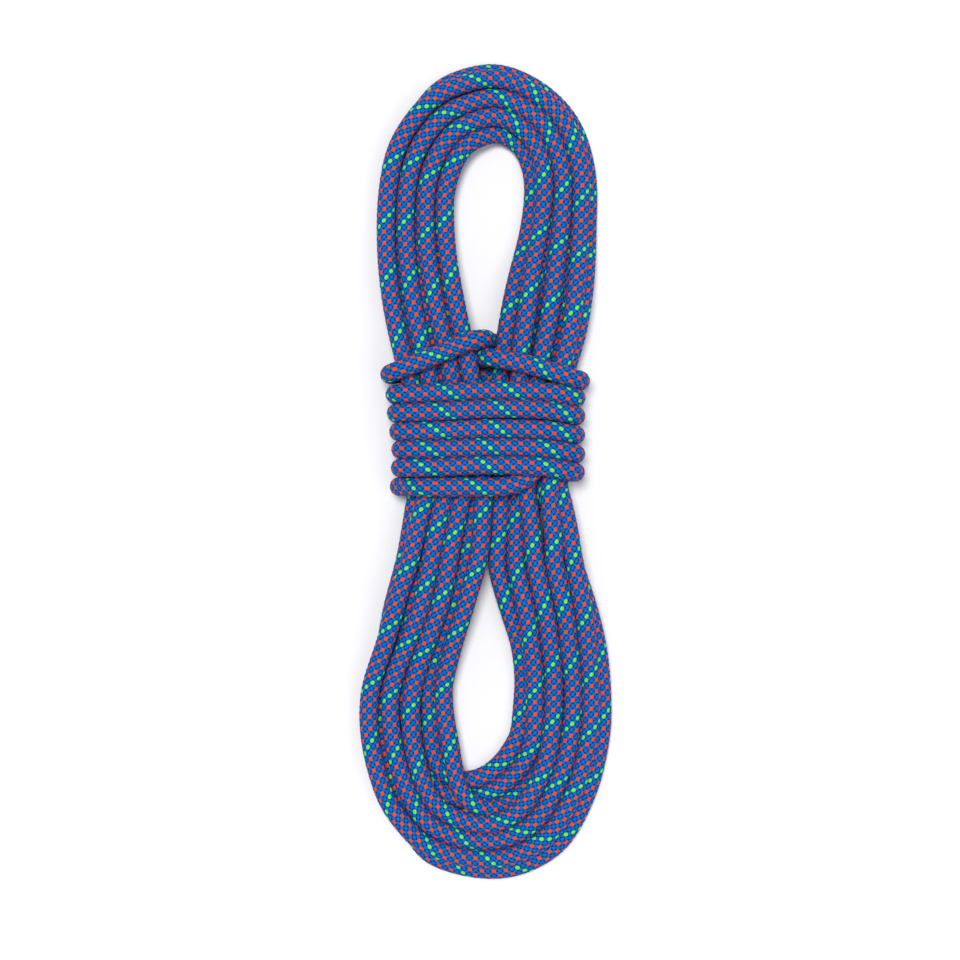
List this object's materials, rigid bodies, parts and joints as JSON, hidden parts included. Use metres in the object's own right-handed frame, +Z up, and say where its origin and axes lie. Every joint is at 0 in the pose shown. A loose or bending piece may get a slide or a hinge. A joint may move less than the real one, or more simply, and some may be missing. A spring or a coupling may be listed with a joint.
{
  "type": "dynamic climbing rope",
  "caption": "Dynamic climbing rope with a blue braided sheath, orange accent yarns and a bright green tracer, wound into a flat hank and wrapped round its waist.",
  "frame": {"origin": "centre of the underside of the hank's box, on the surface it lies on", "axes": "+Z up out of the face that lies upwards, +Y along the hank towards the smaller lobe, +X across it"},
  "size_m": [0.133, 0.4308, 0.0392],
  "materials": {
    "sheath": "matte braided polyamide yarns, blue with orange and yellow-green",
    "core": "matte twisted polyamide strands, undyed",
    "end_band": "smooth shrink sleeve, no lettering",
    "fused_end": "melted sheath and core, slightly glossy"
  },
  "bodies": {
    "root": {"hank_turns": "sheath", "waist_wraps": "sheath", "lock_sheath_right": "sheath", "lock_sheath_left": "sheath", "lock_core_right": "core", "lock_core_left": "core", "first_end_sheath": "sheath", "first_end_band": "end_band", "first_end_cap": "fused_end", "first_end_core_strands": "core", "second_end_sheath": "sheath", "second_end_band": "end_band", "second_end_cap": "fused_end", "second_end_core_strands": "core"}
  },
  "joints": []
}
